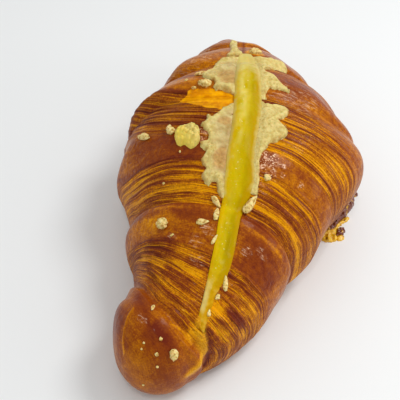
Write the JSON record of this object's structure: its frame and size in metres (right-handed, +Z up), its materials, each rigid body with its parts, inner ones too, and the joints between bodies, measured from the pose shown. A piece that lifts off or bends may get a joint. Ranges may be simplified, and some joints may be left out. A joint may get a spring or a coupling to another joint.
{
  "type": "cheese croissant",
  "caption": "Large baked croissant, split along its crown, with cheese custard in the split and flaps of set cheese over the crust.",
  "frame": {"origin": "on the flat underside, below the middle of the pastry, at the level of the table", "axes": "+Z up, +Y along the croissant from the near horn to the far horn, +X to the right seen from the near horn"},
  "size_m": [0.0906, 0.1688, 0.0567],
  "materials": {
    "crust": "baked laminated crust, brown where it was brushed with egg, golden on the cut layers, glossy in places",
    "custard": "smooth, moist, slightly translucent yellow custard",
    "set_cheese": "cream-coloured, finely pitted, browned at its thin edges",
    "leaked_cheese": "golden, dark brown where it burnt, glossy"
  },
  "bodies": {
    "root": {"pastry": "crust", "custard": "custard", "cheese_left_mid": "set_cheese", "cheese_left_far": "set_cheese", "cheese_right_mid": "set_cheese", "cheese_right_leaf": "set_cheese", "cheese_right_far": "set_cheese", "cheese_far": "set_cheese", "cheese_lump": "set_cheese", "cheese_leak": "leaked_cheese"}
  },
  "joints": []
}
